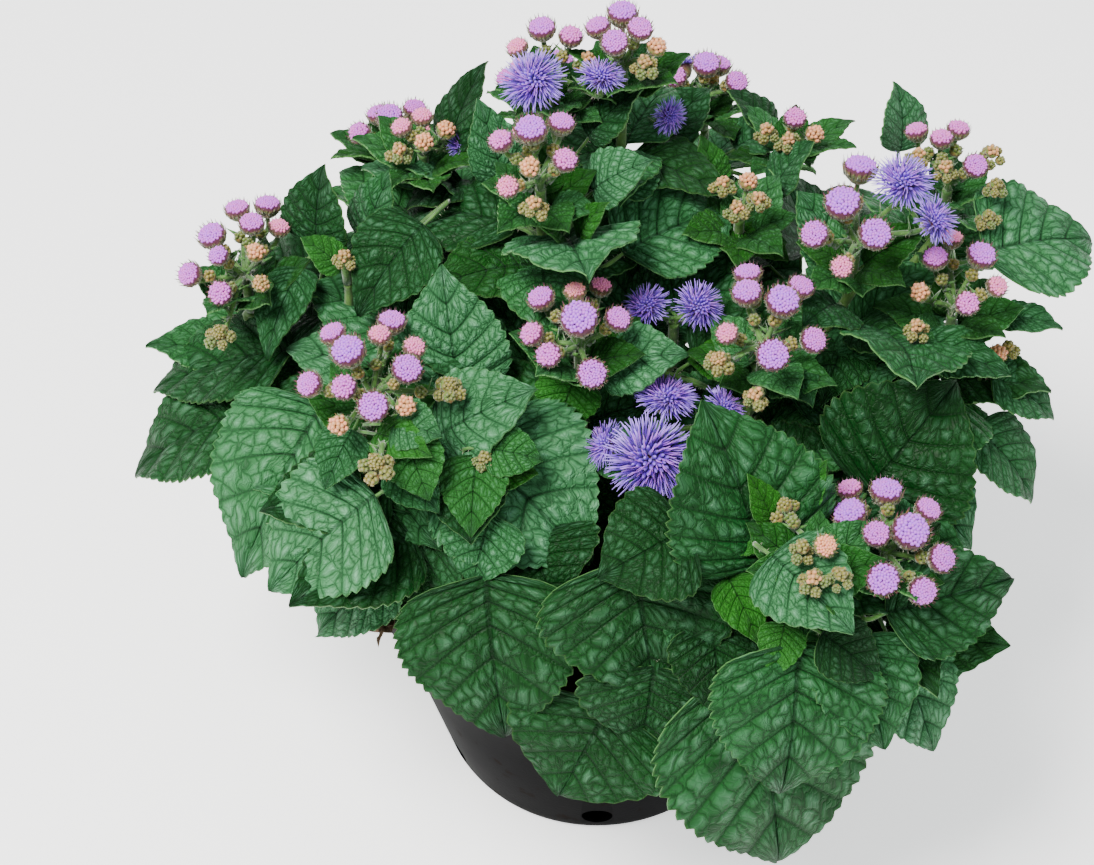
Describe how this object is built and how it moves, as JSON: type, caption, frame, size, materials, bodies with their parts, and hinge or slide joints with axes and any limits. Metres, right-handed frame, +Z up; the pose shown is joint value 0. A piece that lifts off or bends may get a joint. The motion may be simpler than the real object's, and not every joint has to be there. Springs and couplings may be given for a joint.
{
  "type": "potted ageratum plant",
  "caption": "Bushy ageratum in a round nursery pot, with toothed leaves and flat clusters of lilac flower heads.",
  "frame": {"origin": "centre of the pot's flat base", "axes": "+Z up, -Y towards the front of the plant"},
  "size_m": [0.238, 0.1961, 0.1849],
  "materials": {
    "pot_plastic": "charcoal moulded plastic",
    "soil": "dark damp potting soil",
    "leaf": "soft hairy green leaf and stem",
    "flower": "lilac florets over a hairy green and plum cup"
  },
  "bodies": {
    "root": {"flower_cluster_back": "flower", "flower_cluster_back_left": "flower", "flower_cluster_back_left_bud": "flower", "flower_cluster_back_right": "flower", "flower_cluster_centre": "flower", "flower_cluster_centre_right": "flower", "flower_cluster_crown": "flower", "flower_cluster_far_bud": "flower", "flower_cluster_far_left": "flower", "flower_cluster_front_right": "flower", "flower_cluster_front_right_buds": "flower", "flower_cluster_hollow": "flower", "flower_cluster_hollow_back": "flower", "flower_cluster_inner_bud": "flower", "flower_cluster_left": "flower", "flower_cluster_left_bud": "flower", "flower_cluster_left_side_bud": "flower", "flower_cluster_mid_bud": "flower", "flower_cluster_right": "flower", "flower_cluster_right_bud": "flower", "flower_cluster_right_far": "flower", "flower_cluster_right_low": "flower", "flower_cluster_side": "flower", "flower_cluster_top": "flower", "flower_cluster_top_left": "flower", "leafy_stem_back": "leaf", "leafy_stem_back_left": "leaf", "leafy_stem_back_right": "leaf", "leafy_stem_centre": "leaf", "leafy_stem_centre_right": "leaf", "leafy_stem_crown": "leaf", "leafy_stem_far_left": "leaf", "leafy_stem_front_right": "leaf", "leafy_stem_hollow": "leaf", "leafy_stem_left": "leaf", "leafy_stem_left_bud": "leaf", "leafy_stem_right": "leaf", "leafy_stem_right_far": "leaf", "leafy_stem_right_low": "leaf", "leafy_stem_top": "leaf", "pot": "pot_plastic", "soil": "soil"}
  },
  "joints": []
}
